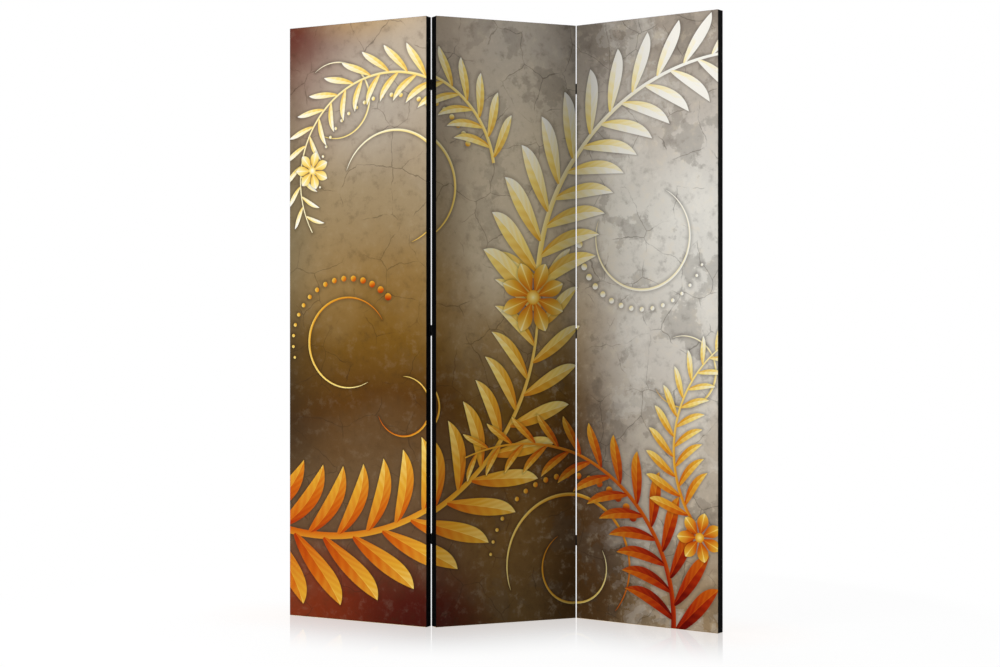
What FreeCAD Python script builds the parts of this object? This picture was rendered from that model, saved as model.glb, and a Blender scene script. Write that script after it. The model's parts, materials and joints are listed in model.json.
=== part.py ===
import FreeCAD
import Part

import math
import os
from FreeCAD import Vector

# A three-panel folding room divider. Each panel is a flat wooden frame with a printed
# canvas on its front and a plain cloth on its back. Steel butt hinges join the panels.
#
# The centre panel stands square to the axes, its width along X and its front facing -Y.
# The origin is on the floor, under the middle of that panel. The outer panels stand
# folded about their hinge pins, the left one backwards and the right one forwards.
# All sizes are in millimetres and all angles in degrees.

# One panel
panel_width = 450.0
panel_height = 1720.0
panel_thickness = 28.0

# How far each outer panel is folded out of the straight line
left_fold_angle = 53.0
right_fold_angle = 61.0

# The canvas and the cloth are trimmed flush with the panel's sides and top. Between them
# a black tape covers the frame's edge. All of them end just clear of the floor.
canvas_thickness = 0.6
cloth_thickness = 0.6
edge_tape_thickness = 0.4
cover_floor_clearance = 1.0

# Softwood frame: two stiles run the full height, and three rails stand between them
stile_width = 30.0
rail_height = 40.0
middle_rail_height_share = 0.487
middle_rail_setback = 3.0

# Stub tenons on the rails, in blind mortises in the stiles
tenon_length = 18.0
tenon_thickness = 8.0
tenon_shoulder = 8.0
mortise_side_clearance = 0.1
mortise_end_clearance = 1.0

# Butt hinges, three to each joint
hinge_height = 30.0
leaf_thickness = 0.6
leaf_reach = 12.0
closed_leaf_gap = 0.2
pin_diameter = 1.4
pin_proud_length = 0.3
fixed_bore_clearance = 0.01
moving_bore_clearance = 0.06
barrel_wall = 0.55
barrel_clearance = 0.15
knuckle_count = 3
knuckle_end_gap = 0.25
left_hinge_height_shares = (0.889, 0.4855, 0.1435)
right_hinge_height_shares = (0.893, 0.4805, 0.1315)

# Countersunk wood screws, two to each hinge leaf
screw_diameter = 2.2
screw_length = 12.0
screw_point_length = 2.5
screw_tip_radius = 0.2
screw_hole_clearance = 0.05
screw_height_shares = (0.22, 0.78)
screw_reach_share = 0.6
screw_flats = 10

# Cutting tools run past the faces that they open
overrun = 1.0

# Worked out from the sizes above
panel_half_width = panel_width / 2
panel_half_thickness = panel_thickness / 2
frame_front = canvas_thickness - panel_half_thickness
frame_back = panel_half_thickness - cloth_thickness
frame_middle = (frame_front + frame_back) / 2
frame_half_width = panel_half_width - edge_tape_thickness
frame_height = panel_height - edge_tape_thickness
rail_half_length = frame_half_width - stile_width
rail_middles = {
    "top": frame_height - rail_height / 2,
    "middle": frame_height * middle_rail_height_share,
    "bottom": rail_height / 2,
}

pin_radius = pin_diameter / 2
barrel_radius = pin_radius + barrel_wall
leaf_face = closed_leaf_gap / 2
leaf_back = leaf_face + leaf_thickness
screw_radius = screw_diameter / 2
screw_head_radius = screw_radius + leaf_thickness
axis_across = panel_half_width + leaf_back
axis_depth = panel_half_thickness + barrel_radius + barrel_clearance

X = Vector(1, 0, 0)
Z = Vector(0, 0, 1)
ORIGIN = Vector(0, 0, 0)

# The joint on each side of the centre panel
joints = {
    "left": {
        "side": -1,
        "fold": left_fold_angle,
        "hinge_middles": [panel_height * share for share in left_hinge_height_shares],
    },
    "right": {
        "side": 1,
        "fold": right_fold_angle,
        "hinge_middles": [panel_height * share for share in right_hinge_height_shares],
    },
}
hinge_places = ("top", "middle", "bottom")


def block(low, high):
    """A box between two opposite corners."""
    return Part.makeBox(high[0] - low[0], high[1] - low[1], high[2] - low[2], Vector(*low))


def rod(radius, start, direction, length):
    return Part.makeCylinder(radius, length, start, direction)


def mirrored(shape):
    """The same piece on the other side of the plane x = 0."""
    return shape.mirror(ORIGIN, X)


# The pieces of one panel, standing in the centre panel's place


def tongue(middle, side_clearance=0, end_clearance=0):
    """The tenon on a rail's right end or, with clearances, the mortise that takes it."""
    half_thickness = tenon_thickness / 2 + side_clearance
    half_height = rail_height / 2 - tenon_shoulder + side_clearance
    tip = rail_half_length + tenon_length + end_clearance
    return block(
        (rail_half_length - overrun, frame_middle - half_thickness, middle - half_height),
        (tip, frame_middle + half_thickness, middle + half_height),
    )


def right_stile():
    shape = block(
        (rail_half_length, frame_front, 0),
        (frame_half_width, frame_back, frame_height),
    )
    for middle in rail_middles.values():
        shape = shape.cut(tongue(middle, mortise_side_clearance, mortise_end_clearance))
    return shape


def rail(middle, setback=0):
    """A crosspiece between the stiles. A setback keeps it clear of both covers."""
    bar = block(
        (-rail_half_length, frame_front + setback, middle - rail_height / 2),
        (rail_half_length, frame_back - setback, middle + rail_height / 2),
    )
    tenon = tongue(middle)
    return bar.fuse([tenon, mirrored(tenon)]).removeSplitter()


def cover(front, thickness):
    """A sheet over one face of the frame, just clear of the floor."""
    return block(
        (-panel_half_width, front, cover_floor_clearance),
        (panel_half_width, front + thickness, panel_height),
    )


def edge_tape():
    """The strips of tape down both sides of the frame and over its top."""
    side_strip = block(
        (frame_half_width, frame_front, cover_floor_clearance),
        (panel_half_width, frame_back, frame_height),
    )
    top_strip = block(
        (-panel_half_width, frame_front, frame_height),
        (panel_half_width, frame_back, panel_height),
    )
    return Part.makeCompound([side_strip, mirrored(side_strip), top_strip])


def panel_parts():
    return {
        "printed_canvas": cover(-panel_half_thickness, canvas_thickness),
        "backing_cloth": cover(frame_back, cloth_thickness),
        "edge_tape": edge_tape(),
        "left_stile": mirrored(right_stile()),
        "right_stile": right_stile(),
        "top_rail": rail(rail_middles["top"]),
        "middle_rail": rail(rail_middles["middle"], middle_rail_setback),
        "bottom_rail": rail(rail_middles["bottom"]),
    }


# The pieces of one hinge, standing on z = 0 with its pin on the Z axis. Its two leaves
# lie face to face and reach towards -Y: the fixed one at +X, the moving one at -X.


def knuckle_span(number):
    """The lowest and the highest z of one knuckle."""
    length = (hinge_height - (knuckle_count - 1) * knuckle_end_gap) / knuckle_count
    low = number * (length + knuckle_end_gap)
    return low, low + length


def screw_places(depth):
    """Where each screw's axis is, at a depth along X."""
    reach = -leaf_reach * screw_reach_share
    return [Vector(depth, reach, hinge_height * share) for share in screw_height_shares]


def screw_form(place, outline, clearance=0):
    """A stepped cone along X, given as (depth, radius), with flats that keep it light."""
    turns = [math.tau * number / screw_flats for number in range(screw_flats)]
    spokes = [Vector(0, math.cos(turn), math.sin(turn)) for turn in turns]
    rings = [
        [place + X * depth + spoke * (radius + clearance) for spoke in spokes]
        for depth, radius in outline
    ]
    outlines = [rings[0], rings[-1]]
    for ring, following in zip(rings, rings[1:]):
        for number in range(screw_flats):
            outlines.append([ring[number - 1], ring[number], following[number], following[number - 1]])
    faces = [Part.Face(Part.makePolygon(corners + corners[:1])) for corners in outlines]
    return Part.makeSolid(Part.makeShell(faces))


def leaf(own_knuckles, bore_clearance):
    """A plate with a barrel at each of its own knuckles and a notch at each of the others."""
    shape = block((leaf_face, -leaf_reach, 0), (leaf_back, 0, hinge_height))
    notch_depth = barrel_radius + barrel_clearance
    for number in range(knuckle_count):
        low, high = knuckle_span(number)
        if number in own_knuckles:
            shape = shape.fuse(rod(barrel_radius, Z * low, Z, high - low))
        else:
            notch = block(
                (leaf_face - overrun, -notch_depth, low - knuckle_end_gap),
                (leaf_back + overrun, overrun, high + knuckle_end_gap),
            )
            shape = shape.cut(notch)
    bore_radius = pin_radius + bore_clearance
    shape = shape.cut(rod(bore_radius, Z * -overrun, Z, hinge_height + 2 * overrun))
    countersink = ((0, screw_head_radius), (leaf_thickness, screw_radius))
    for place in screw_places(leaf_face):
        shape = shape.cut(screw_form(place, countersink, screw_hole_clearance))
    return shape.removeSplitter()


def screws():
    """The countersunk screws of one leaf, each with its point in the wood."""
    outline = (
        (0, screw_head_radius),
        (leaf_thickness, screw_radius),
        (screw_length - screw_point_length, screw_radius),
        (screw_length, screw_tip_radius),
    )
    return Part.makeCompound([screw_form(place, outline) for place in screw_places(leaf_face)])


def hinge_parts():
    """A piece called moving belongs to the outer panel, the others to the centre panel."""
    fixed_knuckles = range(0, knuckle_count, 2)
    moving_knuckles = range(1, knuckle_count, 2)
    pin_length = hinge_height + 2 * pin_proud_length
    return {
        "pin": rod(pin_radius, Z * -pin_proud_length, Z, pin_length),
        "fixed_leaf": leaf(fixed_knuckles, fixed_bore_clearance),
        "fixed_screws": screws(),
        "moving_leaf": mirrored(leaf(moving_knuckles, moving_bore_clearance)),
        "moving_screws": mirrored(screws()),
    }


# The whole screen. The pins stand behind the panels on the left and before them on the
# right, so each joint is the other one turned half round.


def axis_foot(joint):
    """Where the line of a joint's pins meets the floor."""
    return Vector(joint["side"] * axis_across, -joint["side"] * axis_depth, 0)


def folded(shape, joint):
    """Turns a piece of an outer panel about its hinge pins."""
    return shape.rotated(axis_foot(joint), Z, -joint["fold"])


def outer_panel_parts(joint):
    """The pieces of one outer panel, moved beside the centre panel and then folded."""
    beside = X * (2 * joint["side"] * axis_across)
    return {
        name: folded(shape.translated(beside), joint)
        for name, shape in panel_parts().items()
    }


def placed_hinge_parts(joint, middle):
    """The pieces of one hinge on a joint, the moving ones folded with their panel."""
    foot = axis_foot(joint) + Z * (middle - hinge_height / 2)
    half_turn = 180 if joint["side"] > 0 else 0
    made = {}
    for name, shape in hinge_parts().items():
        shape = shape.rotated(ORIGIN, Z, half_turn).translated(foot)
        made[name] = folded(shape, joint) if name.startswith("moving") else shape
    return made


def all_parts():
    parts = {"centre_panel_" + name: shape for name, shape in panel_parts().items()}
    for where, joint in joints.items():
        for name, shape in outer_panel_parts(joint).items():
            parts[where + "_panel_" + name] = shape
        for place, middle in zip(hinge_places, joint["hinge_middles"]):
            for name, shape in placed_hinge_parts(joint, middle).items():
                parts[where + "_" + place + "_hinge_" + name] = shape
    return parts


os.makedirs("parts", exist_ok=True)
for node, shape in all_parts().items():
    shape.exportStep("parts/" + node + ".step")
    print(node, len(shape.Solids), "solids", round(shape.Volume), "mm3")
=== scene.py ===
import json
import math

import bmesh
import bpy
from mathutils import Matrix, Vector


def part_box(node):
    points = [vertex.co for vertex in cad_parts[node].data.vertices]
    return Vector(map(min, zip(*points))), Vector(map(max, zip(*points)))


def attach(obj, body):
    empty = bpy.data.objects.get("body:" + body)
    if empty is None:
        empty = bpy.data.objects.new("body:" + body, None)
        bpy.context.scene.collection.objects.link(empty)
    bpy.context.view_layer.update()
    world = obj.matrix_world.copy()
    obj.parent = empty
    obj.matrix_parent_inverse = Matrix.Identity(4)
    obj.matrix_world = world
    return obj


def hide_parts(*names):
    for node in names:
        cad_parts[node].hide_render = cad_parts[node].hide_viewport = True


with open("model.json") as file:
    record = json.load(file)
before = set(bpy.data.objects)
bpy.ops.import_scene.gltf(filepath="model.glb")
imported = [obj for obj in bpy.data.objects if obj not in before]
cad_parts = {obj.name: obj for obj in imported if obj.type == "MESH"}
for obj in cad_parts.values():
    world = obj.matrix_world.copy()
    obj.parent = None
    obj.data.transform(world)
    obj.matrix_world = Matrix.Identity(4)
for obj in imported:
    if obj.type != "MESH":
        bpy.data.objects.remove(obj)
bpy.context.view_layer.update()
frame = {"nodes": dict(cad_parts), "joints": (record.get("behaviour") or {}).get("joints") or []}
print("stage: frame loaded with", len(frame["nodes"]), "nodes")

# A folding screen of three printed panels. Each new piece is made in the row of the
# opened-out screen, in metres, and then turned about its joint into its folded place.
panel = {
    "width": 0.450,
    "height": 1.720,
    "step": 0.4514,  # from one panel's middle to the next, opened out
    "halfThickness": 0.014,
    "coverThickness": 0.0006,
    "tapeThickness": 0.0004,
    "floorGap": 0.001,
}
sides = {"left": -1, "centre": 0, "right": 1}
joints = {
    joint["name"].split("_")[0]: {
        "foot": Vector((joint["pos_m"][0], joint["pos_m"][1], 0)),
        "angle": math.radians(joint["range_deg"][0]),  # at this limit the row is straight
    }
    for joint in frame["joints"]
}


# Shader maths. A wire wraps one socket, and a sum on wires adds the Math nodes for it.
class Wire:
    def __init__(self, tree, socket=None):
        self.tree = tree
        self.socket = socket

    # any node: its type, its settings, then the values or wires of its sockets
    def node(self, kind, settings=None, sockets=None, output=0):
        made = self.tree.nodes.new(kind)
        for name, value in (settings or {}).items():
            if name == "stops":
                setStops(made.color_ramp, value)
            else:
                setattr(made, name, value)
        for name, value in (sockets or {}).items():
            if isinstance(value, Wire):
                self.tree.links.new(value.socket, made.inputs[name])
            else:
                made.inputs[name].default_value = value
        return Wire(self.tree, made.outputs[output] if made.outputs else None)

    # another output of the node that this wire comes from
    def output(self, number):
        return Wire(self.tree, self.socket.node.outputs[number])

    def math(self, operation, *values):
        return self.node("ShaderNodeMath", {"operation": operation}, dict(enumerate(values)))

    def __add__(self, other):
        return self.math("ADD", self, other)

    def __sub__(self, other):
        return self.math("SUBTRACT", self, other)

    def __rsub__(self, other):
        return self.math("SUBTRACT", other, self)

    def __mul__(self, other):
        return self.math("MULTIPLY", self, other)

    def __truediv__(self, other):
        return self.math("DIVIDE", self, other)

    def __pow__(self, other):
        return self.math("POWER", self, other)

    def __abs__(self):
        return self.math("ABSOLUTE", self)

    __radd__ = __add__
    __rmul__ = __mul__


# an sRGB colour in whole numbers, as the linear one that Blender takes
def linear(*shade):
    shares = [value / 255 for value in shade]
    return (*(s / 12.92 if s <= 0.04045 else ((s + 0.055) / 1.055) ** 2.4 for s in shares), 1)


def setStops(colourRamp, stops):
    while len(colourRamp.elements) < len(stops):
        colourRamp.elements.new(1)
    for element, (position, shade) in zip(colourRamp.elements, stops):
        element.position = position
        element.color = linear(*shade)


def ramp(value, stops):
    return value.node("ShaderNodeValToRGB", {"stops": stops}, {0: value})


# 0 below low, 1 above high, and smooth between them
def rise(value, low, high):
    sockets = {"Value": value, "From Min": low, "From Max": high}
    return value.node("ShaderNodeMapRange", {"interpolation_type": "SMOOTHSTEP"}, sockets)


def least(one, other):
    return one.math("MINIMUM", one, other)


def most(one, other):
    return one.math("MAXIMUM", one, other)


# one colour laid over another
def over(under, top, share):
    return share.node("ShaderNodeMix", {"data_type": "RGBA"}, {0: share, 6: under, 7: top}, 2)


def shifted(place, move):
    return place.node("ShaderNodeVectorMath", {"operation": "ADD"}, {0: place, 1: move})


def stretched(place, factors, turn=0.0):
    sockets = {"Vector": place, "Scale": factors, "Rotation": (0, 0, turn)}
    return place.node("ShaderNodeMapping", {}, sockets)


def noise(place, scale, detail, roughness=0.55, dimensions="2D", move=None, output=0):
    if move:
        place = shifted(place, move)
    sockets = {"Vector": place, "Scale": scale, "Detail": detail, "Roughness": roughness}
    return place.node("ShaderNodeTexNoise", {"noise_dimensions": dimensions}, sockets, output)


def objectPlace(start):
    return start.node("ShaderNodeTexCoord", output=3)


def apart(place):
    x = place.node("ShaderNodeSeparateXYZ", {}, {0: place})
    return x, x.output(1), x.output(2)


def freshTree(owner):
    owner.use_nodes = True
    owner.node_tree.nodes.clear()
    return Wire(owner.node_tree)


# A material with one Principled shader: its fixed sockets, and what paint gives for the
# others. A height comes with the distance and the strength of its bump.
def material(name, fixed, paint, *values):
    made = bpy.data.materials.new(name)
    start = freshTree(made)
    driven = paint(start, *values)
    if "Height" in driven:
        height, distance, strength = driven.pop("Height")
        sockets = {"Height": height, "Distance": distance, "Strength": strength}
        driven["Normal"] = start.node("ShaderNodeBump", {}, sockets)
    shader = start.node("ShaderNodeBsdfPrincipled", {}, {**fixed, **driven})
    start.node("ShaderNodeOutputMaterial", {}, {"Surface": shader})
    return made


# The print: a generic ornament of boughs, flowers, berries and open rings in gold and
# silver on worn plaster, which runs on over the three panels. Every place is in metres
# on the opened-out screen, across from its middle and up from the floor. The metal's
# tones go from copper red through gold to silver.
metalTones = [
    (0.0, (104, 10, 4)),
    (0.15, (168, 42, 8)),
    (0.33, (204, 98, 16)),
    (0.54, (226, 166, 48)),
    (0.73, (248, 220, 122)),
    (0.88, (249, 238, 196)),
    (1.0, (246, 243, 234)),
]
ornament = {
    "edge": 0.00045,
    "shadeEdge": (-0.013, 0.004),  # the soft shadow round each motif
    "shadeDepth": 0.42,
    "shade": (34, 20, 8),
    # leaf is length and half width, lean and curl bend the leaves towards the tip
    "boughs": [
        {"centre": (-0.34, 1.27), "radius": 0.30, "turns": (8, 210), "step": 0.060,
         "leaf": (0.100, 0.021), "lean": 1.15, "curl": -3.0, "stem": 0.005, "taper": 0.55,
         "tones": (0.66, 0.82)},
        {"centre": (-0.56, 0.90), "radius": 0.66, "turns": (-118, 8), "step": 0.098,
         "leaf": (0.215, 0.046), "lean": 1.1, "curl": -1.9, "stem": 0.012, "taper": 0.42,
         "tones": (0.24, 0.66)},
        {"centre": (0.74, 0.96), "radius": 0.64, "turns": (186, 70), "step": 0.088,
         "leaf": (0.185, 0.038), "lean": 1.1, "curl": -2.2, "stem": 0.009, "taper": 0.50,
         "tones": (0.60, 1.14)},
        {"centre": (0.05, 0.02), "radius": 0.49, "turns": (-6, 112), "step": 0.076,
         "leaf": (0.150, 0.033), "lean": 1.1, "curl": -2.4, "stem": 0.008, "taper": 0.60,
         "tones": (0.04, 0.50)},
        {"centre": (0.90, 0.50), "radius": 0.36, "turns": (212, 112), "step": 0.056,
         "leaf": (0.100, 0.021), "lean": 1.1, "curl": -3.2, "stem": 0.005, "taper": 0.55,
         "tones": (0.34, 0.86)},
    ],
    "rings": [
        {"centre": (-0.33, 1.24), "radius": 0.165, "turns": (-70, 160), "width": 0.0042,
         "tones": (0.60, 0.95)},
        {"centre": (-0.48, 0.80), "radius": 0.130, "turns": (30, 300), "width": 0.0036,
         "tones": (0.35, 0.80)},
        {"centre": (-0.30, 0.62), "radius": 0.085, "turns": (-160, 90), "width": 0.0030,
         "tones": (0.30, 0.70)},
        {"centre": (0.44, 1.10), "radius": 0.150, "turns": (-200, 60), "width": 0.0040,
         "tones": (0.85, 1.0)},
        {"centre": (0.20, 0.16), "radius": 0.200, "turns": (-40, 200), "width": 0.0050,
         "tones": (0.30, 0.78)},
        {"centre": (0.22, 0.15), "radius": 0.105, "turns": (120, 390), "width": 0.0034,
         "tones": (0.40, 0.85)},
        {"centre": (0.57, 0.72), "radius": 0.100, "turns": (-150, 110), "width": 0.0032,
         "tones": (0.60, 0.95)},
        {"centre": (-0.52, 1.50), "radius": 0.110, "turns": (-120, 130), "width": 0.0030,
         "tones": (0.72, 0.92)},
    ],
    "berries": [
        {"centre": (-0.34, 1.27), "radius": 0.235, "turns": (20, 190), "step": 0.030,
         "size": 0.0085, "tones": (0.66, 0.95)},
        {"centre": (-0.48, 0.80), "radius": 0.185, "turns": (40, 200), "step": 0.032,
         "size": 0.0105, "tones": (0.30, 0.70)},
        {"centre": (0.44, 1.10), "radius": 0.205, "turns": (-190, -20), "step": 0.034,
         "size": 0.0110, "tones": (0.88, 1.0)},
        {"centre": (0.20, 0.16), "radius": 0.255, "turns": (30, 175), "step": 0.036,
         "size": 0.0120, "tones": (0.25, 0.66)},
    ],
    "flowers": [
        {"centre": (0.085, 0.93), "radius": 0.105, "petals": 8, "tones": (0.34, 0.74)},
        {"centre": (0.62, 0.26), "radius": 0.070, "petals": 7, "tones": (0.20, 0.66)},
        {"centre": (-0.60, 1.30), "radius": 0.055, "petals": 7, "tones": (0.62, 0.90)},
    ],
}


# how far a point lies along an arc and how far off it
def onArc(x, z, values):
    right, up = x - values["centreX"], z - values["centreZ"]
    ahead = right * values["cosine"] + up * values["sine"]
    aside = (up * values["cosine"] - right * values["sine"]) * values["way"]
    along = aside.math("ARCTAN2", aside, ahead) * values["radius"] + values["length"] / 2
    offset = (ahead * ahead + aside * aside) ** 0.5 - values["radius"]
    return along, offset


def toneAt(share, values):
    return share * (values["toneEnd"] - values["toneStart"]) + values["toneStart"]


# The leaves and the stem of a bough. A leaf widens by the power swell, narrows by the
# power close, and is made fuller by the third number.
leafForm = {
    "swell": 0.62,
    "close": 1.9,
    "fullness": 1.75,
    "shift": 0.25,  # in steps, one way on each side, so that the leaves alternate
    "lastShare": 0.49,  # how far from the arc's middle the last leaf may stand
    "ending": 40,  # how fast the leaves give out past it
    "fold": 0.0016,  # the middle line between a leaf's lit and shaded half
    "vein": (0.0005, 0.0016),
    "ribs": {"across": 260, "along": 38, "depth": 0.022},
    "stemTaper": 0.75,
    "joint": 0.0004,  # how softly a leaf meets the stem
}
leafTones = {"tip": 0.26, "lit": 0.12, "vein": 0.10, "foot": 0.14, "stem": 0.06, "stemSide": 0.07}


# Each motif gives how far inside its outline a point lies, and its tone on the ramp.
def bough(x, z, values):
    along, offset = onArc(x, z, values)
    height = abs(offset)
    side = offset.math("SIGN", offset)
    step, length = values["step"], values["length"]
    # cells that lean and bend as the leaves do
    slope = height * values["lean"] + height * height * values["curl"]
    cell = (along - slope) / step + side * leafForm["shift"]
    number = cell.math("FLOOR", cell)
    local = (cell - number - 0.5) * step
    share = (number + 0.5) * step / length
    size = 1 - share * values["taper"]
    reach = height / (size * values["leafLength"])
    bound = least(reach, 1)
    outline = (bound ** leafForm["swell"]) * (1 - bound ** leafForm["close"])
    width = outline * size * values["leafWidth"] * leafForm["fullness"]
    past = most(reach - 1, 0) * values["leafLength"]
    missing = most(abs(share - 0.5) - leafForm["lastShare"], 0) * leafForm["ending"]
    leafGap = width - abs(local) - past - missing
    run = along / length
    stemEnd = length / 2 - abs(along - length / 2)
    stemGap = least((1 - run * leafForm["stemTaper"]) * values["stem"] - height, stemEnd)
    lit = rise(local * side, -leafForm["fold"], leafForm["fold"])
    vein = 1 - rise(abs(local), *leafForm["vein"])
    rib = abs(local) * leafForm["ribs"]["across"] - bound * leafForm["ribs"]["along"]
    ribs = rib.math("SINE", rib) * leafForm["ribs"]["depth"]
    leafTone = bound * leafTones["tip"] + lit * leafTones["lit"] + vein * leafTones["vein"]
    leafTone = leafTone + ribs - leafTones["foot"]
    stemTone = offset / values["stem"] * leafTones["stemSide"] + leafTones["stem"]
    onStem = rise(stemGap - leafGap, -leafForm["joint"], leafForm["joint"])
    tone = toneAt(run, values) + leafTone * (1 - onStem) + stemTone * onStem
    return most(leafGap, stemGap), tone


ringForm = {"sideTone": 0.10}


def ring(x, z, values):
    along, offset = onArc(x, z, values)
    share = along / values["length"]
    span = most(1 - abs(share * 2 - 1), 0)
    past = most(abs(share - 0.5) - 0.5, 0) * values["length"]
    gap = (span**0.5) * values["width"] - abs(offset) - past
    return gap, toneAt(share, values) + offset / values["width"] * ringForm["sideTone"]


berryForm = {"taper": 0.65, "ending": 10, "sideTone": 0.16}


def berries(x, z, values):
    along, offset = onArc(x, z, values)
    cell = along / values["step"]
    number = cell.math("FLOOR", cell)
    local = (cell - number - 0.5) * values["step"]
    share = (number + 0.5) * values["step"] / values["length"]
    size = (1 - share * berryForm["taper"]) * values["size"]
    missing = most(abs(share - 0.5) - 0.5, 0) * berryForm["ending"]
    distance = (local * local + offset * offset) ** 0.5
    lit = (local + offset) / values["size"] * berryForm["sideTone"]
    return size - distance - missing, toneAt(share, values) + lit


# petals shaped as the leaves are, round a heart
flowerForm = {
    "swell": 0.7,
    "close": 2.2,
    "fullness": 1.9,
    "heart": 0.20,
    "vein": (0.02, 0.10),
    "joint": 0.0004,
}
flowerTones = {"vein": 0.14, "edge": 0.16, "heart": 0.10, "heartFall": 1.6}


def flower(x, z, values):
    right, up = x - values["centreX"], z - values["centreZ"]
    distance = (right * right + up * up) ** 0.5
    turn = right.math("ARCTAN2", up, right) * values["petals"] / math.tau
    local = abs(turn.math("FRACT", turn) - 0.5) * 2  # 0 on a petal's line, 1 between two
    reach = distance / values["radius"]
    bound = least(reach, 1)
    petal = (bound ** flowerForm["swell"]) * (1 - bound ** flowerForm["close"])
    petal = petal * flowerForm["fullness"]
    past = most(reach - 1, 0) * values["radius"]
    petalGap = (petal - local) * distance * math.pi / values["petals"] - past
    heartGap = values["radius"] * flowerForm["heart"] - distance
    vein = 1 - rise(local, *flowerForm["vein"])
    petalTone = toneAt(reach, values) + vein * flowerTones["vein"] - local * flowerTones["edge"]
    heartTone = values["toneEnd"] + flowerTones["heart"] - reach * flowerTones["heartFall"]
    onHeart = rise(heartGap, -flowerForm["joint"], flowerForm["joint"])
    return most(petalGap, heartGap), petalTone * (1 - onHeart) + heartTone * onHeart


motifs = {"rings": ring, "berries": berries, "boughs": bough, "flowers": flower}


# the numbers of one motif as its node group takes them
def motifNumbers(values):
    numbers = {name: value for name, value in values.items() if not isinstance(value, tuple)}
    numbers["centreX"], numbers["centreZ"] = values["centre"]
    numbers["toneStart"], numbers["toneEnd"] = values["tones"]
    if "leaf" in values:
        numbers["leafLength"], numbers["leafWidth"] = values["leaf"]
    if "turns" in values:
        start, end = (math.radians(turn) for turn in values["turns"])
        numbers["cosine"] = math.cos((start + end) / 2)
        numbers["sine"] = math.sin((start + end) / 2)
        numbers["way"] = math.copysign(1, end - start)
        numbers["length"] = abs(end - start) * values["radius"]
    return numbers


# one node group for each kind of motif, with a socket for each of its numbers
def motifGroup(kind):
    group = bpy.data.node_groups.new(kind, "ShaderNodeTree")
    names = ["x", "z", *motifNumbers(ornament[kind][0])]
    for name in names:
        group.interface.new_socket(name, in_out="INPUT", socket_type="NodeSocketFloat")
    for name in ("gap", "tone"):
        group.interface.new_socket(name, in_out="OUTPUT", socket_type="NodeSocketFloat")
    inside = Wire(group).node("NodeGroupInput")
    wires = {name: inside.output(number) for number, name in enumerate(names)}
    gap, tone = motifs[kind](wires.pop("x"), wires.pop("z"), wires)
    inside.node("NodeGroupOutput", {}, {"gap": gap, "tone": tone})
    return group


# The plaster under the ornament: its colours from the floor up, for three stretches of
# the row.
ground = {
    "left": [
        (0.03, (104, 38, 22)),
        (0.14, (102, 74, 52)),
        (0.25, (106, 81, 53)),
        (0.36, (91, 58, 20)),
        (0.47, (108, 77, 28)),
        (0.57, (146, 121, 80)),
        (0.72, (158, 138, 106)),
        (0.92, (188, 171, 150)),
    ],
    "middle": [
        (0.05, (104, 80, 46)),
        (0.16, (120, 90, 48)),
        (0.26, (104, 70, 28)),
        (0.36, (116, 84, 32)),
        (0.47, (164, 138, 96)),
        (0.60, (202, 186, 158)),
        (0.80, (200, 186, 162)),
        (0.95, (184, 174, 160)),
    ],
    "right": [
        (0.04, (160, 136, 104)),
        (0.16, (178, 163, 143)),
        (0.30, (196, 186, 171)),
        (0.45, (210, 204, 194)),
        (0.65, (220, 216, 206)),
        (0.80, (198, 190, 179)),
        (0.95, (164, 153, 140)),
    ],
    # soft clouds of colour: where each is, its half width and half height, its strength
    "washes": [
        {"at": (-0.72, 1.80), "size": (0.42, 0.54), "shade": (90, 14, 8), "share": 0.95},
        {"at": (-0.72, 1.14), "size": (0.16, 0.66), "shade": (100, 92, 70), "share": 0.60},
        {"at": (-0.40, 1.50), "size": (0.28, 0.24), "shade": (180, 174, 166), "share": 0.45},
        {"at": (-0.42, 1.78), "size": (0.26, 0.14), "shade": (200, 160, 92), "share": 0.60},
        {"at": (-0.36, 0.92), "size": (0.34, 0.24), "shade": (146, 104, 30), "share": 0.35},
        {"at": (-0.72, 0.60), "size": (0.22, 0.36), "shade": (34, 30, 24), "share": 0.65},
        {"at": (-0.70, 0.02), "size": (0.36, 0.24), "shade": (146, 58, 22), "share": 0.50},
        {"at": (-0.24, -0.08), "size": (0.28, 0.34), "shade": (54, 12, 10), "share": 0.80},
        {"at": (0.28, 0.18), "size": (0.20, 0.48), "shade": (80, 46, 12), "share": 0.72},
        {"at": (0.66, 1.10), "size": (0.26, 0.44), "shade": (222, 221, 216), "share": 0.45},
    ],
    "washEdge": (0.15, 1.1),  # where a cloud starts to thin out and where it ends
    "rampPerMetre": 0.58,
    "middleStart": (-0.26, 0.0),
    "rightStart": (0.22, 0.50),
    "rightLean": 0.10,
    # a slow noise that bends the edges between the colours, and how much of each
    "drift": {"scale": 2.2, "detail": 4, "roughness": 0.6},
    "driftReach": 0.5,
    "driftShares": {"height": 0.35, "middle": 0.22, "right": 0.26, "wash": 1.2},
}
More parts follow.
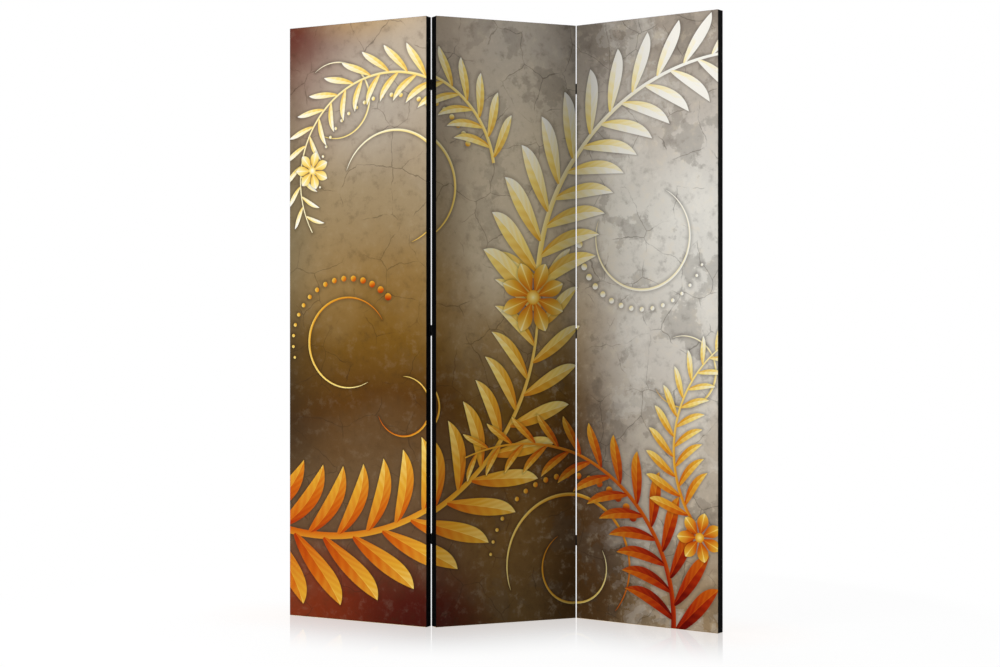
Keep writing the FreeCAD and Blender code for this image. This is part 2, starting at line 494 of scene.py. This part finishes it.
# what age has left on the plaster, most of it towards the pale side
wear = {
    "paleStart": (-0.30, 0.35),
    "paleLean": 0.1,
    "coarse": {"scale": 7.5, "detail": 8, "roughness": 0.62},
    "fine": {"scale": 26, "detail": 6, "roughness": 0.68, "move": (3.1, 1.7, 0)},
    "flaked": {"scale": 5.5, "detail": 9, "roughness": 0.60, "move": (7.3, 4.4, 0)},
    "stain": {
        "shade": (96, 88, 78),
        "soft": (0.53, 0.60),
        "softShares": (0.12, 0.05),  # on the pale side, and all over
        "sharp": (0.555, 0.565),
        "sharpShare": 0.14,
    },
    "flake": {
        "shade": (238, 234, 224),
        "layers": [(0.555, 0.563), (0.605, 0.615)],
        "share": 0.16,
    },
    "speck": {"shade": (60, 44, 26), "reach": (0.50, 0.78), "share": 0.30},
    "dust": {"shade": (236, 220, 190), "reach": (0.26, 0.48), "shares": (0.16, 0.04)},
    "crack": {
        "shade": (52, 38, 24),
        "share": 0.45,
        "scale": 9.0,
        "width": (0.004, 0.014),
        "stained": (0.42, 0.56),
        "bend": 0.05,
        "bending": {"scale": 9, "detail": 4, "roughness": 0.5, "output": 1},
    },
}


# hair cracks where the plaster is stained
def cracked(picture, place, coarse):
    crack = wear["crack"]
    sockets = {0: crack["bend"], 4: place, 5: noise(place, **crack["bending"])}
    bent = place.node("ShaderNodeMix", {"data_type": "VECTOR"}, sockets, 1)
    net = {"voronoi_dimensions": "2D", "feature": "DISTANCE_TO_EDGE"}
    toEdge = place.node("ShaderNodeTexVoronoi", net, {"Vector": bent, "Scale": crack["scale"]})
    line = (1 - rise(toEdge, *crack["width"])) * rise(coarse, *crack["stained"])
    return over(picture, linear(*crack["shade"]), line * crack["share"])


# stains, flakes, specks and dust, then the cracks
def worn(picture, place, x, z, toRight):
    pale = rise(x + z * wear["paleLean"], *wear["paleStart"])
    coarse = noise(place, **wear["coarse"])
    fine = noise(place, **wear["fine"])
    flaked = noise(place, **wear["flaked"])
    stain, flake, speck, dust = (wear[name] for name in ("stain", "flake", "speck", "dust"))
    onPale, everywhere = stain["softShares"]
    soft = rise(coarse, *stain["soft"]) * (pale * onPale + everywhere)
    sharp = rise(coarse, *stain["sharp"]) * pale * stain["sharpShare"]
    picture = over(picture, linear(*stain["shade"]), soft + sharp)
    thin, thick = (rise(flaked, *layer) * flake["share"] for layer in flake["layers"])
    picture = over(picture, linear(*flake["shade"]), (thin + thick) * toRight)
    specks = rise(fine, *speck["reach"]) * speck["share"]
    picture = over(picture, linear(*speck["shade"]), specks)
    onPale, everywhere = dust["shares"]
    dusty = (1 - rise(fine, *dust["reach"])) * (pale * onPale + everywhere)
    picture = over(picture, linear(*dust["shade"]), dusty)
    return cracked(picture, place, coarse)


def plaster(place, x, z):
    shares = ground["driftShares"]
    drift = (noise(place, **ground["drift"]) - 0.5) * ground["driftReach"]
    height = z * ground["rampPerMetre"] + drift * shares["height"]
    picture = ramp(height, ground["left"])
    toMiddle = rise(x + drift * shares["middle"], *ground["middleStart"])
    picture = over(picture, ramp(height, ground["middle"]), toMiddle)
    leaning = x + drift * shares["right"] + z * ground["rightLean"]
    toRight = rise(leaning, *ground["rightStart"])
    picture = over(picture, ramp(height, ground["right"]), toRight)
    for wash in ground["washes"]:
        right = (x - wash["at"][0]) / wash["size"][0]
        up = (z - wash["at"][1]) / wash["size"][1]
        away = (right * right + up * up) ** 0.5 + drift * shares["wash"]
        share = (1 - rise(away, *ground["washEdge"])) * wash["share"]
        picture = over(picture, linear(*wash["shade"]), share)
    return worn(picture, place, x, z, toRight)


# Painted shade of the folds, laid over the print towards the seams: how far it reaches to the
# left and the right of each, and how strong it is low down and high up.
paintedSeamShades = [
    {"at": panel["step"] / 2, "reach": (-0.20, 0.40), "low": 0.42, "high": 0.42},
    {"at": panel["step"] / 2, "reach": (-0.0006, 0.14), "low": 0.0, "high": 0.34},
    {"at": -panel["step"] / 2, "reach": (-0.0006, 0.15), "low": 0.0, "high": 0.34},
]
paintedSeamShadeLook = {"colour": (24, 18, 10), "heights": (0.8, 1.3)}


def printedPicture(place, x, z):
    picture = plaster(place, x, z)
    edge = ornament["edge"]
    for kind in motifs:
        group = motifGroup(kind)
        for values in ornament[kind]:
            sockets = {"x": x, "z": z, **motifNumbers(values)}
            gap = place.node("ShaderNodeGroup", {"node_tree": group}, sockets)
            tone = gap.output(1)
            shade = rise(gap, *ornament["shadeEdge"]) * ornament["shadeDepth"]
            picture = over(picture, linear(*ornament["shade"]), shade)
            picture = over(picture, ramp(tone, metalTones), rise(gap, -edge, edge))
    # painted shade of the folds, darkening the print towards the seams
    for seamShadeBand in paintedSeamShades:
        past = x - seamShadeBand["at"]
        left, right = seamShadeBand["reach"]
        near = (1 - rise(past, 0.0, right)) * (1 - rise(past, 0.0, left))
        strength = rise(z, *paintedSeamShadeLook["heights"]) * (seamShadeBand["high"] - seamShadeBand["low"]) + seamShadeBand["low"]
        picture = over(picture, linear(*paintedSeamShadeLook["colour"]), near * strength)
    return picture


# the printed cloth, with its weave, painted shade in the weave's holes, and its blackened cut
# edge
canvas = {
    "thread": 0.0007,
    "slub": {"scale": 60, "detail": 3},
    "slubStretch": (1, 12, 1),
    "slubHeight": 0.5,
    "relief": (0.00012, 0.6),
    # painted shade in the holes between the threads, and how much of it
    "hole": (30, 24, 18),
    "holeShare": 0.10,
    "edge": (9, 8, 8),
    "edgeWidth": 0.0005,
    "fray": {"scale": 220, "detail": 3},
    "frayReach": 0.0004,
    "rough": (0.72, 0.12),
}
weaveEdge = 0.2  # how softly one thread dips under the next


# threads over and under each other, 0 in the holes and 1 on top
def weave(x, z, thread):
    warp, weft = x * (math.pi / thread), z * (math.pi / thread)
    sineWarp, sineWeft = warp.math("SINE", warp), weft.math("SINE", weft)
    check = rise(sineWarp * sineWeft, -weaveEdge, weaveEdge)
    return abs(sineWarp) * check + abs(sineWeft) * (1 - check)


def clothPlace(start):
    place = start.node("ShaderNodeUVMap", {"uv_map": "cloth"})
    x, z, _ = apart(place)
    return place, x, z


# a roughness from its least value and what a mask adds to it
def roughened(mask, rough):
    base, more = rough
    return mask * more + base


def paintCanvas(start):
    place, x, z = clothPlace(start)
    picture = printedPicture(place, x, z)
    # the cut edge of the cloth, blackened like the tape
    panelNumber = (x / panel["step"]).math("ROUND", x / panel["step"])
    toSide = panel["width"] / 2 - abs(x - panelNumber * panel["step"])
    toEdge = least(toSide, least(z - panel["floorGap"], panel["height"] - z))
    frayed = toEdge - noise(place, **canvas["fray"]) * canvas["frayReach"]
    black = 1 - rise(frayed, 0.0, canvas["edgeWidth"])
    picture = over(picture, linear(*canvas["edge"]), black)
    threads = weave(x, z, canvas["thread"])
    slub = noise(stretched(place, canvas["slubStretch"]), **canvas["slub"])
    return {
        # the weave's holes get a painted shade, darker where the threads dip away
        "Base Color": over(picture, linear(*canvas["hole"]), (1 - threads) * canvas["holeShare"]),
        "Roughness": roughened(slub, canvas["rough"]),
        "Height": (threads + slub * canvas["slubHeight"], *canvas["relief"]),
    }


backingCloth = {"shades": ((26, 26, 28), (46, 46, 49)), "thread": 0.0009, "dustShare": 0.22}
tapeCloth = {"shades": ((3, 3, 4), (8, 8, 9)), "thread": 0.0006, "dustShare": 0.02}
# what the two black cloths have in common
blackWeave = {
    "slub": {"scale": 50, "detail": 3},
    "slubStretch": (1, 22, 1),
    "slubStops": (0.3, 0.75),
    "slubHeight": 0.6,
    "relief": (0.00022, 0.7),
    # painted shade in the holes between the threads, and how much of it
    "hole": (4, 4, 5),
    "holeShare": 0.5,
    "dust": (74, 72, 70),
    "dustNoise": {"scale": 5, "detail": 5, "roughness": 0.65},
    "dustReach": (0.5, 0.9),
    "rough": (0.80, 0.12),
}


def darkCloth(start, values):
    place, x, z = clothPlace(start)
    threads = weave(x, z, values["thread"])
    slub = noise(stretched(place, blackWeave["slubStretch"]), **blackWeave["slub"])
    dust = noise(place, **blackWeave["dustNoise"])
    dusty = rise(dust, *blackWeave["dustReach"]) * values["dustShare"]
    yarn = ramp(slub, list(zip(blackWeave["slubStops"], values["shades"])))
    yarn = over(yarn, linear(*blackWeave["dust"]), dusty)
    # painted shade in the weave's holes
    holeShading = (1 - threads) * blackWeave["holeShare"]
    return {
        "Base Color": over(yarn, linear(*blackWeave["hole"]), holeShading),
        "Roughness": roughened(dust, blackWeave["rough"]),
        "Height": (threads + slub * blackWeave["slubHeight"], *blackWeave["relief"]),
    }


# black lacquer, worn down to the steel in places
hingeLacquer = {
    "shades": [(0.3, (8, 8, 9)), (0.7, (16, 16, 17))],
    "patch": {"scale": 90, "detail": 4, "roughness": 0.6},
    "rough": (0.38, 0.20),
    "steel": (96, 94, 90),
    "steelShare": 0.7,
    "metal": 0.9,
    "bare": {"scale": 260, "detail": 5, "roughness": 0.7, "move": (0.7, 0.3, 0.1)},
    "bareReach": (0.62, 0.72),
    "grain": {"scale": 1400, "detail": 3, "roughness": 0.6},
    "relief": (0.00004, 0.5),
}
screwLacquer = {
    "shades": [(0.3, (18, 18, 19)), (0.7, (34, 34, 35))],
    "patch": {"scale": 300, "detail": 4, "roughness": 0.6},
    "rough": (0.28, 0.20),
    "steel": (120, 117, 110),
    "steelShare": 0.8,
    "metal": 0.9,
    "bare": {"scale": 700, "detail": 4, "roughness": 0.7, "move": (0.2, 0.9, 0.4)},
    "bareReach": (0.58, 0.70),
}


def lacquer(start, values):
    place = objectPlace(start)
    patch = noise(place, dimensions="3D", **values["patch"])
    bare = rise(noise(place, dimensions="3D", **values["bare"]), *values["bareReach"])
    paint = ramp(patch, values["shades"])
    driven = {
        "Base Color": over(paint, linear(*values["steel"]), bare * values["steelShare"]),
        "Metallic": bare * values["metal"],
        "Roughness": roughened(patch, values["rough"]),
    }
    if "grain" in values:
        grain = noise(place, dimensions="3D", **values["grain"])
        driven["Height"] = (grain, *values["relief"])
    return driven


pineGrain = {
    "along": 0.06,  # how much slower the grain changes along the piece
    "streak": {"scale": 60, "detail": 6, "roughness": 0.6},
    "shades": [(0.25, (196, 158, 104)), (0.55, (218, 184, 132)), (0.8, (232, 204, 158))],
    "bands": {"scale": 22, "detail": 2, "roughness": 0.5},
    "years": 55,
    "yearShade": (168, 118, 64),
    "yearShare": 0.35,
    "yearHeight": 0.3,
    "rough": (0.5, 0.2),
    "relief": (0.0003, 0.5),
}


# pine with its grain along the piece, which lies at a turn about the upright
def pine(start, upright, turn=0.0):
    level = stretched(objectPlace(start), (1, 1, 1), -turn)
    along = pineGrain["along"]
    grained = stretched(level, (1, 1, along) if upright else (along, 1, 1))
    streak = noise(grained, dimensions="3D", **pineGrain["streak"])
    bands = noise(grained, dimensions="3D", **pineGrain["bands"]) * pineGrain["years"]
    years = bands.math("SINE", bands) * 0.5 + 0.5
    wood = ramp(streak, pineGrain["shades"])
    yearLines = years * years * pineGrain["yearShare"]
    return {
        "Base Color": over(wood, linear(*pineGrain["yearShade"]), yearLines),
        "Roughness": roughened(streak, pineGrain["rough"]),
        "Height": (streak + years * pineGrain["yearHeight"], *pineGrain["relief"]),
    }


canvasPrint = material("canvas print", {"Specular IOR Level": 0.10}, paintCanvas)
blackCloth = material(
    "black backing cloth", {"Specular IOR Level": 0.3}, darkCloth, backingCloth
)
blackTape = material("black cloth tape", {"Specular IOR Level": 0.06}, darkCloth, tapeCloth)
hingeFinish = material("black hinge lacquer", {"IOR": 1.4}, lacquer, hingeLacquer)
screwFinish = material("black screw lacquer", {"IOR": 1.5}, lacquer, screwLacquer)
stileWood = material("pine stile", {}, pine, True)
railWoods = {}
for where in sides:
    turn = joints[where]["angle"] if where in joints else 0.0
    railWoods[where] = material("pine rail " + where, {}, pine, False, turn)
print("stage: materials made,", len(canvasPrint.node_tree.nodes), "nodes in the print")


# turns a mesh of an outer panel about its joint
def fold(made, where):
    if where in joints:
        joint = joints[where]
        turn = Matrix.Rotation(joint["angle"], 3, "Z")
        bmesh.ops.rotate(made, verts=made.verts, cent=joint["foot"], matrix=turn)


def meshOf(made, name):
    mesh = bpy.data.meshes.new(name)
    made.to_mesh(mesh)
    made.free()
    return mesh


def intoScene(name, data):
    made = bpy.data.objects.new(name, data)
    bpy.context.scene.collection.objects.link(made)
    return made


def finishPiece(made, name, finish, body, slot, *nodes):
    mesh = meshOf(made, name)
    mesh.materials.append(finish)
    piece = intoScene(name, mesh)
    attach(piece, body)
    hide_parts(*nodes)
    return piece


# A cloth stretched over one face of a panel, which dips a little between the frame's bars.
# Its way is -1 on the front and 1 on the back.
sheet = {
    "columns": 15,
    "rows": 43,
    "stile": 0.030,
    "rail": 0.040,
    "dipPowers": (2, 6),  # across and upwards: the higher, the flatter the dip's middle
    "creaseAngle": 40,
}
# the map for baked images: the panel's lower and upper half side by side, and the
# hidden side of the cloth in a narrow band above them
layout = {"margin": 0.004, "top": 0.965, "band": (0.975, 0.995)}


# A flat grid is turned upright, dipped and thickened. Its weave and its print follow the
# places of the opened-out row.
def coverSheet(where, way, dip):
    middle = sides[where] * panel["step"]
    width, height = panel["width"], panel["height"] - panel["floorGap"]
    made = bmesh.new()
    bmesh.ops.create_grid(made, x_segments=sheet["columns"], y_segments=sheet["rows"], size=0.5)
    bmesh.ops.scale(made, verts=made.verts, vec=(width, height, 1))
    upright = Matrix.Rotation(math.radians(90), 3, "X")
    facing = Matrix.Rotation(math.radians(90 + way * 90), 3, "Z")
    bmesh.ops.rotate(made, verts=made.verts, matrix=facing @ upright)
    acrossPower, upPower = sheet["dipPowers"]
    for vert in made.verts:
        spanX = abs(vert.co.x) / (width / 2 - sheet["stile"])
        spanZ = abs(vert.co.z) / (height / 2 - sheet["rail"])
        depth = dip * max(1 - spanX**acrossPower, 0) * max(1 - spanZ**upPower, 0)
        vert.co.y = -way * depth
    bmesh.ops.solidify(made, geom=made.faces[:], thickness=panel["coverThickness"])
    outside = max(vert.co.y * way for vert in made.verts)
    centre = (middle, way * (panel["halfThickness"] - outside), panel["floorGap"] + height / 2)
    bmesh.ops.translate(made, verts=made.verts, vec=centre)
    bmesh.ops.recalc_face_normals(made, faces=made.faces)
    spread = made.loops.layers.uv.new("cloth")
    for face in made.faces:
        face.smooth = abs(face.normal.y) > 0.5
        for loop in face.loops:
            loop[spread].uv = loop.vert.co.x, loop.vert.co.z
    for edge in made.edges:
        edge.smooth = edge.calc_face_angle(0) < math.radians(sheet["creaseAngle"])
    layOut(made, middle, way)
    fold(made, where)
    return made


def layOut(made, middle, way):
    halves = made.loops.layers.uv.new("OFBake")
    margin, foot = layout["margin"], panel["floorGap"]
    halfHeight = (panel["height"] - foot) / 2
    for face in made.faces:
        upper = face.calc_center_median().z > foot + halfHeight
        left, bottom = (0.5, foot + halfHeight) if upper else (0, foot)
        low, high = layout["band"]
        if face.normal.y * way > -0.5:
            low, high = margin, layout["top"] - margin
        for loop in face.loops:
            acrossShare = (loop.vert.co.x - middle) / panel["width"] + 0.5
            upShare = (loop.vert.co.z - bottom) / halfHeight
            u = left + margin + acrossShare * (0.5 - 2 * margin)
            loop[halves].uv = u, low + upShare * (high - low)


# the tape's rounded top corners, and where its weave starts across it
edging = {"cornerRadius": 0.0011, "cornerSegments": 4, "mapStart": 0.05}


# one strip of tape up a side, over the top and down the other side
def tapeStrip(where):
    middle = sides[where] * panel["step"]
    half, tall = panel["width"] / 2, panel["height"] - panel["floorGap"]
    deep = panel["halfThickness"] - panel["coverThickness"]
    made = bmesh.new()
    foot = [made.verts.new((middle - half, y, panel["floorGap"])) for y in (-deep, deep)]
    edge = made.edges.new(foot)
    spread = made.loops.layers.uv.new("cloth")
    for move in ((0, 0, tall), (2 * half, 0, 0), (0, 0, -tall)):
        extruded = bmesh.ops.extrude_edge_only(made, edges=[edge])["geom"]
        edge = next(item for item in extruded if isinstance(item, bmesh.types.BMEdge))
        bmesh.ops.translate(made, verts=edge.verts, vec=move)
    bmesh.ops.recalc_face_normals(made, faces=made.faces)
    bmesh.ops.bevel(
        made,
        geom=[edge for edge in made.edges if len(edge.link_faces) == 2],
        offset=edging["cornerRadius"],
        segments=edging["cornerSegments"],
        profile=0.5,
        affect="EDGES",
        material=-1,
    )
    for face in made.faces:
        for loop in face.loops:
            x, y, z = loop.vert.co
            loop[spread].uv = y + edging["mapStart"], z + (x - middle)
    bmesh.ops.solidify(made, geom=made.faces[:], thickness=panel["tapeThickness"])
    bmesh.ops.recalc_face_normals(made, faces=made.faces)
    fold(made, where)
    return made


covers = {
    "canvas": {"way": -1, "dip": 0.0008, "finish": canvasPrint, "slot": "printed_canvas"},
    "backing": {"way": 1, "dip": 0.0016, "finish": blackCloth, "slot": "backing_cloth"},
}
for where in sides:
    body = where + "_panel"
    node = body + "_"
    for name, values in covers.items():
        made = coverSheet(where, values["way"], values["dip"])
        title, slot = where + "_" + name, values["slot"]
        cloth = finishPiece(made, title, values["finish"], body, slot, node + slot)
    made = tapeStrip(where)
    tape = finishPiece(made, where + "_tape", blackTape, body, "edge_tape", node + "edge_tape")
print("stage: canvases, backing cloths and tapes made")

# Countersunk screws with a cross in their heads, two in each hinge leaf
screw = {
    # how deep each ring lies under the head, and its radius
    "outline": [(0.0, 0.00164), (0.0006, 0.0011), (0.0095, 0.0011), (0.0120, 0.0002)],
    "flats": 24,
    "rim": 0.0003,
    "crossDepth": 0.0007,
    "armHalfAngle": 20,
    "armShare": 0.72,
    "hollowShare": 0.30,
    "crossFloorShare": 0.45,
    "leafFace": 0.0001,
    "reach": 0.0072,
    "heights": (-0.0084, 0.0084),
}


def cutScrew():
    made = bmesh.new()
    radius = screw["outline"][0][1]
    bmesh.ops.create_circle(made, cap_ends=True, segments=screw["flats"], radius=radius)
    head = next(iter(made.faces))
    ring = list(head.edges)
    for (depth, wide), (nextDepth, nextWide) in zip(screw["outline"], screw["outline"][1:]):
        extruded = bmesh.ops.extrude_edge_only(made, edges=ring)["geom"]
        ring = [item for item in extruded if isinstance(item, bmesh.types.BMEdge)]
        points = [item for item in extruded if isinstance(item, bmesh.types.BMVert)]
        bmesh.ops.translate(made, verts=points, vec=(0, 0, depth - nextDepth))
        bmesh.ops.scale(made, verts=points, vec=(nextWide / wide, nextWide / wide, 1))
    bmesh.ops.edgeloop_fill(made, edges=ring)
    bmesh.ops.inset_region(made, faces=[head], thickness=screw["rim"])
    # the head's inner ring becomes a cross, which sinks in
    for vert in head.verts:
        turn = math.degrees(math.atan2(vert.co.y, vert.co.x)) % 90
        onArm = min(turn, 90 - turn) < screw["armHalfAngle"]
        share = screw["armShare"] if onArm else screw["hollowShare"]
        vert.co.x, vert.co.y = vert.co.x * share, vert.co.y * share
    crossFloor = bmesh.ops.extrude_discrete_faces(made, faces=[head])["faces"][0]
    narrowed = (screw["crossFloorShare"], screw["crossFloorShare"], 1)
    bmesh.ops.translate(made, verts=crossFloor.verts, vec=(0, 0, -screw["crossDepth"]))
    bmesh.ops.scale(made, verts=crossFloor.verts, vec=narrowed)
    bmesh.ops.recalc_face_normals(made, faces=made.faces)
    return made


# the screws of one leaf of a hinge, whose pin has its middle at a given point
def leafScrews(where, leaf, pinMiddle):
    way = 1 if leaf == "fixed" else -1
    turnRound = Matrix.Rotation(math.pi if where == "right" else 0, 4, "Z")
    # the head looks back along -X, or along X on the moving leaf
    lie = Matrix.Rotation(-math.pi / 2 * way, 4, "Y")
    made = bmesh.new()
    for height in screw["heights"]:
        one = cutScrew()
        spot = Matrix.Translation((way * screw["leafFace"], -screw["reach"], height))
        place = Matrix.Translation(pinMiddle) @ turnRound @ spot @ lie
        bmesh.ops.transform(one, verts=one.verts, matrix=place)
        mesh = meshOf(one, "screw")
        made.from_mesh(mesh)
        bpy.data.meshes.remove(mesh)
    if leaf == "moving":
        fold(made, where)
    return made


for where in joints:
    for place in ("top", "middle", "bottom"):
        hinge = where + "_" + place + "_hinge_"
        pinMiddle = Vector([(low + high) / 2 for low, high in zip(*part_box(hinge + "pin"))])
        for leaf in ("fixed", "moving"):
            made = leafScrews(where, leaf, pinMiddle)
            title = where + "_" + place + "_" + leaf + "_screws"
            body = "centre_panel" if leaf == "fixed" else where + "_panel"
            node = hinge + leaf + "_screws"
            finishPiece(made, title, screwFinish, body, "screw_steel", node)
print("stage: screws made")

# The carried-over pieces keep their shape and get their finish
for name, node in frame["nodes"].items():
    if name.endswith(("_leaf", "_pin")):
        finish = hingeFinish
    elif name.endswith("_stile"):
        finish = stileWood
    elif name.endswith("_rail"):
        finish = railWoods[name.split("_")[0]]
    else:
        continue
    node.data.materials.clear()
    node.data.materials.append(finish)
print("stage: finishes on the carried-over pieces")

# A white studio: its floor mirrors the panels' foot and has a painted warm bounce light beside
# them.
studio = {
    "floorSize": 14.0,
    "ambient": 0.09,
    "aim": (0, 0, 0.86),
    "lamps": {
        "key": {"place": (-5.3, -1.3, 1.5), "size": 3.0, "power": 225},
        "back": {"place": (1.5, 5.0, 2.4), "size": 3.0, "power": 120},
        "overhead": {"place": (0.0, 0.0, 4.6), "size": 4.0, "power": 210},
    },
    "paper": (170, 170, 170),
    "seenPaper": (238, 238, 238),
    "glow": 0.90,  # the share of plain white in the floor at the screen, the rest is paper
    "glowReach": (0.5, 1.6),  # from where to where that share grows to the whole
    "warmth": (255, 250, 247),
    "warmthReach": 0.35,
    "reflection": 0.31,
    "reflectionReach": 0.55,
    "reflectionBlur": 0.03,
}
white = (1, 1, 1, 1)


def lamp(name, values):
    light = bpy.data.lights.new(name, "AREA")
    light.shape = "DISK"
    light.size = values["size"]
    light.energy = values["power"]
    made = intoScene(name, light)
    made.location = values["place"]
    aim = Vector(studio["aim"]) - Vector(values["place"])
    made.rotation_euler = aim.to_track_quat("-Z", "Y").to_euler()
    made.visible_camera = False
    made.visible_glossy = False


def whiteWorld():
    world = bpy.data.worlds.new("studio")
    start = freshTree(world)
    seen = most(start.node("ShaderNodeLightPath"), start.node("ShaderNodeLightPath", output=3))
    strength = seen * (1 - studio["ambient"]) + studio["ambient"]
    sky = start.node("ShaderNodeBackground", {}, {"Color": white, "Strength": strength})
    start.node("ShaderNodeOutputWorld", {}, {"Surface": sky})
    return world


# how far a floor point is from the nearest panel's foot, measured in the opened-out row
def awayFromPanels(x, y):
    near = None
    for where, side in sides.items():
        turn, foot = 0.0, Vector((0, 0, 0))
        if where in joints:
            turn, foot = joints[where]["angle"], joints[where]["foot"]
        cosine, sine = math.cos(-turn), math.sin(-turn)
        dx, dy = x - foot.x, y - foot.y
        rowX = dx * cosine - dy * sine + (foot.x - side * panel["step"])
        rowY = dx * sine + dy * cosine + foot.y
        aside = most(abs(rowX) - panel["width"] / 2, 0)
        away = (aside * aside + rowY * rowY) ** 0.5
        near = away if near is None else least(near, away)
    return near


# white to the camera, with the screen's soft shadow, a painted warm bounce light beside the
# panels, and a reflection that fades
def floorMaterial():
    made = bpy.data.materials.new("studio floor")
    start = freshTree(made)
    x, y, _ = apart(objectPlace(start))
    camera = start.node("ShaderNodeLightPath")
    paper = over(linear(*studio["paper"]), linear(*studio["seenPaper"]), camera)
    cloth = start.node("ShaderNodeBsdfDiffuse", {}, {"Color": paper})
    # a painted warm tint by the panels, standing in for light bounced off the print
    near = awayFromPanels(x, y)
    pastBounceTint = rise(near, 0.0, studio["warmthReach"])
    bounceTinted = over(linear(*studio["warmth"]), white, pastBounceTint)
    glow = start.node("ShaderNodeEmission", {}, {"Color": bounceTinted, "Strength": 1.0})
    far = rise((x * x + y * y) ** 0.5, *studio["glowReach"])
    glowing = camera * most(far, studio["glow"])
    lit = start.node("ShaderNodeMixShader", {}, {0: glowing, 1: cloth, 2: glow})
    mirrored = {"Color": white, "Roughness": studio["reflectionBlur"]}
    mirror = start.node("ShaderNodeBsdfGlossy", {}, mirrored)
    fade = 1 - rise(near, 0.0, studio["reflectionReach"])
    share = fade * camera * studio["reflection"]
    surface = start.node("ShaderNodeMixShader", {}, {0: share, 1: lit, 2: mirror})
    start.node("ShaderNodeOutputMaterial", {}, {"Surface": surface})
    return made


for name, values in studio["lamps"].items():
    lamp(name, values)
bpy.context.scene.world = whiteWorld()
made = bmesh.new()
bmesh.ops.create_grid(made, x_segments=1, y_segments=1, size=studio["floorSize"] / 2)
floor = intoScene("floor", meshOf(made, "floor"))
floor.data.materials.append(floorMaterial())

# Camera, fitted to the corners of the three panels in the photograph
view = {
    "place": (-2.53105, -4.76824, 0.83593),
    "turn": -22.640,
    "focal": 1876.5,  # in pixels of the picture
    "pictureWidth": 1000,
    "sensor": 36,
    "shift": (0.17, -0.00337),
}
lens = bpy.data.cameras.new("camera")
lens.sensor_width = view["sensor"]
lens.lens = view["focal"] * view["sensor"] / view["pictureWidth"]
lens.shift_x, lens.shift_y = view["shift"]
camera = intoScene("camera", lens)
camera.location = view["place"]
camera.rotation_euler = (math.radians(90), 0, math.radians(view["turn"]))
bpy.context.scene.camera = camera
bpy.context.scene.view_settings.view_transform = "Standard"
print("stage: studio and camera set")
